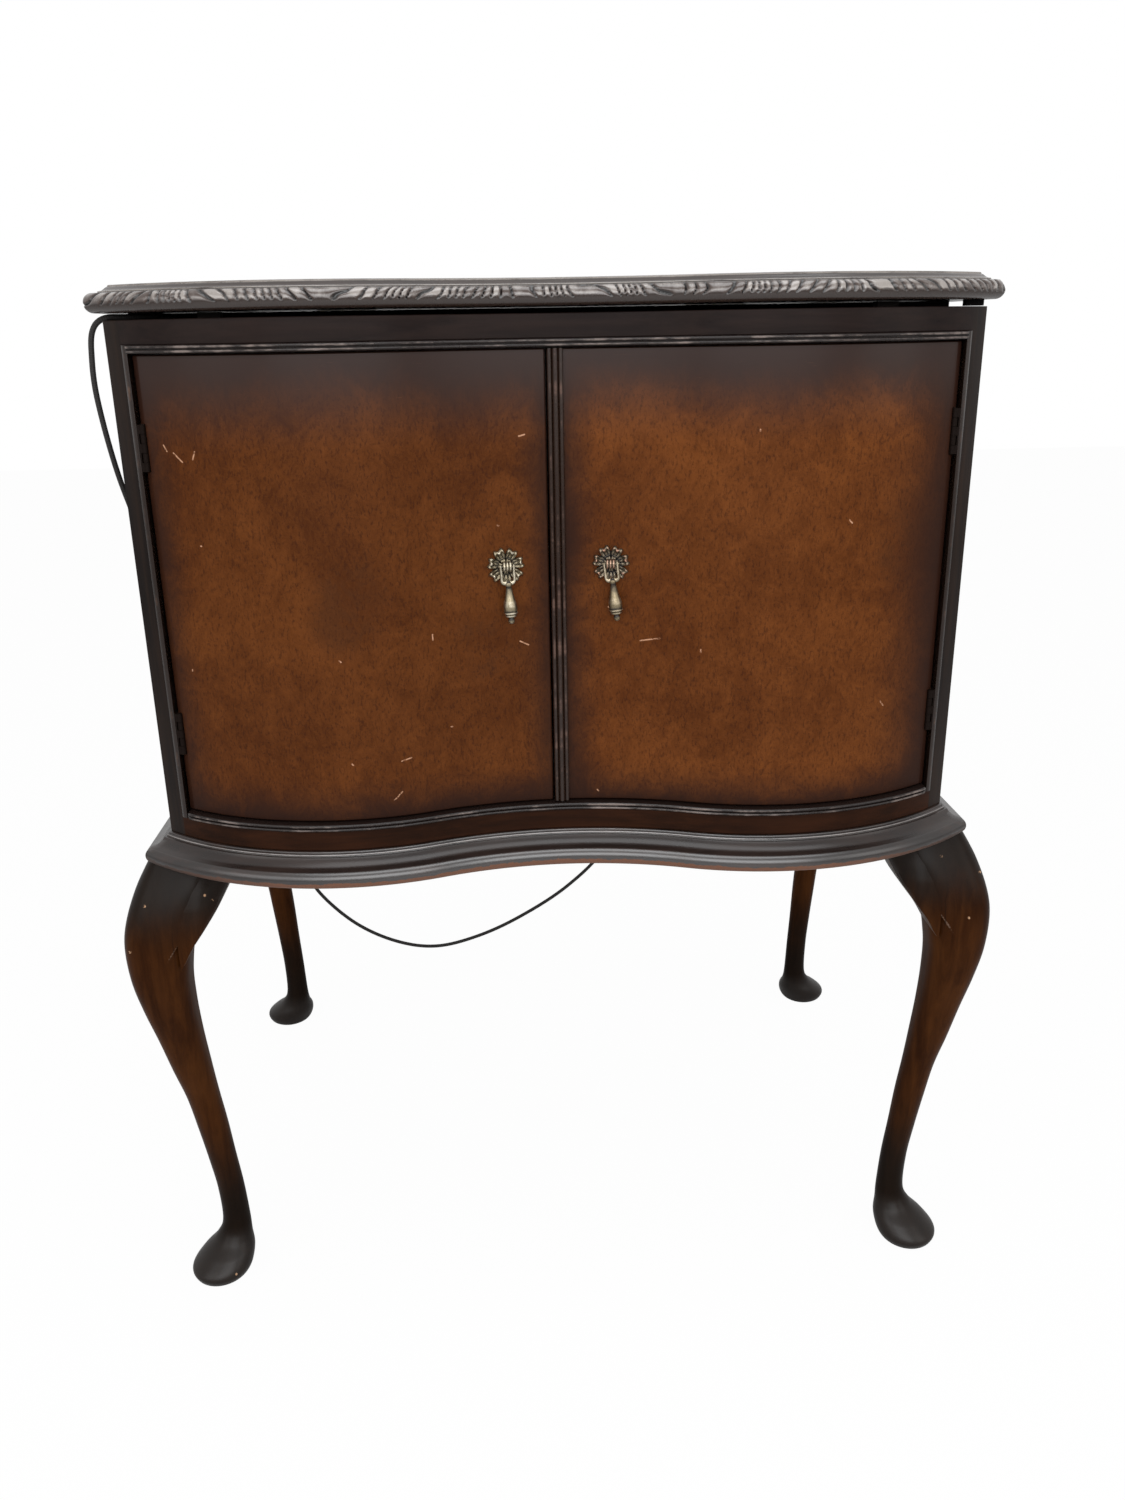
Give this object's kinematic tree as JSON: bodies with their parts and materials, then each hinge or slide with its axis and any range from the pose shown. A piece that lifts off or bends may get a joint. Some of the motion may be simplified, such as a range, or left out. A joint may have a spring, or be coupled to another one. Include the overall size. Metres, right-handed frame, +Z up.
{
  "type": "gramophone cabinet",
  "caption": "Serpentine-fronted record-player cabinet on cabriole legs, with curved doors over a horn, a hinged lid with a carved edge and a turntable and tone arm inside",
  "frame": {"origin": "centre of the footprint, on the floor", "axes": "x to the viewer's right, y from the front to the back, z up"},
  "size_m": [0.7126, 0.5363, 0.8315],
  "materials": {
    "case_wood": "dark stained, worn polish",
    "door_veneer": "figured veneer, aged polish",
    "bead_wood": "dark stained bead, worn highlights",
    "base_wood": "dark polished moulding",
    "leg_wood": "dark stained, worn polish",
    "lid_wood": "dark stained, worn polish",
    "carved_wood": "carved edge, red-brown",
    "inner_wood": "plain unpolished board",
    "deck_wood": "polished board",
    "old_brass": "antique cast, dark in the hollows",
    "nickel": "worn nickel plate",
    "bright_brass": "polished brass",
    "black_iron": "black enamel",
    "steel": "ground steel",
    "felt": "worn green felt",
    "pad": "dark felt pad",
    "flex_braid": "dark braided flex",
    "ebonite": "black moulded rubber"
  },
  "bodies": {
    "case": {"left_side": "case_wood", "right_side": "case_wood", "corner_stiles": "case_wood", "top_rail": "case_wood", "bottom_rail": "case_wood", "top_bead": "bead_wood", "bottom_bead": "bead_wood", "side_beads": "bead_wood", "back_board": "inner_wood", "bottom_board": "inner_wood", "base_front_moulding": "base_wood", "base_side_mouldings": "base_wood", "base_rails": "case_wood", "front_left_leg": "leg_wood", "front_right_leg": "leg_wood", "rear_left_leg": "leg_wood", "rear_right_leg": "leg_wood", "knee_ears": "leg_wood", "deck_bearers": "inner_wood", "motor_board": "deck_wood", "motor_plate": "steel", "motor_case": "black_iron", "motor_bolts": "bright_brass", "tone_arm_base": "nickel", "arm_rest": "nickel", "needle_cups": "nickel", "horn_throat": "inner_wood", "horn_top_boards": "inner_wood", "horn_walls": "inner_wood", "horn_baffle": "deck_wood", "horn_louvres": "deck_wood", "stay_guide": "bright_brass", "lid_hinge_plates": "bright_brass", "lid_pads": "pad", "door_hinge_plates": "old_brass", "flex_grommets": "ebonite", "flex": "flex_braid", "flex_plug": "ebonite"},
    "lid": {"lid_board": "lid_wood", "lid_front_edge": "carved_wood", "lid_side_edges": "carved_wood", "lid_stay": "bright_brass", "lid_hinge_flaps": "bright_brass"},
    "left_door": {"left_door_panel": "door_veneer", "left_door_hinges": "old_brass", "left_backplate": "old_brass"},
    "left_pull": {"left_drop_pull": "old_brass"},
    "right_door": {"right_door_panel": "door_veneer", "meeting_bead": "bead_wood", "right_door_hinges": "old_brass", "right_backplate": "old_brass"},
    "right_pull": {"right_drop_pull": "old_brass"},
    "turntable": {"spindle": "steel", "turntable": "black_iron", "turntable_mat": "felt"},
    "tone_arm": {"tone_arm": "nickel"},
    "gooseneck": {"gooseneck": "nickel", "sound_box": "nickel"},
    "speed_knob": {"speed_knob": "nickel"},
    "brake_lever": {"brake_lever": "nickel"}
  },
  "joints": [
    {"name": "lid_hinge", "type": "hinge", "parent": "case", "child": "lid", "pos_m": [0, 0.24095, 0.81125], "axis": [-1, 0, 0], "range_deg": [0, 72]},
    {"name": "left_door_hinge", "type": "hinge", "parent": "case", "child": "left_door", "pos_m": [-0.284, -0.21113, 0.621], "axis": [0, 0, -1], "range_deg": [0, 100]},
    {"name": "left_pull_swing", "type": "hinge", "parent": "left_door", "child": "left_pull", "pos_m": [-0.03698, -0.22761, 0.64], "axis": [-0.9919, -0.1268, 0], "range_deg": [0, 70]},
    {"name": "right_door_hinge", "type": "hinge", "parent": "case", "child": "right_door", "pos_m": [0.284, -0.21113, 0.621], "axis": [0, 0, 1], "range_deg": [0, 100]},
    {"name": "right_pull_swing", "type": "hinge", "parent": "right_door", "child": "right_pull", "pos_m": [0.03698, -0.22761, 0.64], "axis": [-0.9919, 0.1268, 0], "range_deg": [0, 70]},
    {"name": "turntable_spin", "type": "hinge", "parent": "case", "child": "turntable", "pos_m": [-0.05, 0.01075, 0.719], "axis": [0, 0, -1], "continuous": true},
    {"name": "tone_arm_swing", "type": "hinge", "parent": "case", "child": "tone_arm", "pos_m": [0.195, 0.10975, 0.77], "axis": [0, 0, -1], "range_deg": [0, 60]},
    {"name": "gooseneck_turn", "type": "hinge", "parent": "tone_arm", "child": "gooseneck", "pos_m": [0.195, -0.12925, 0.77], "axis": [0, 1, 0], "range_deg": [0, 90]},
    {"name": "speed_knob_turn", "type": "hinge", "parent": "case", "child": "speed_knob", "pos_m": [0.11, -0.14225, 0.713], "axis": [0, 0, 1], "range_deg": [-60, 60]},
    {"name": "brake_turn", "type": "hinge", "parent": "case", "child": "brake_lever", "pos_m": [-0.18833, -0.10127, 0.713], "axis": [0, 0, -1], "range_deg": [0, 25]}
  ]
}
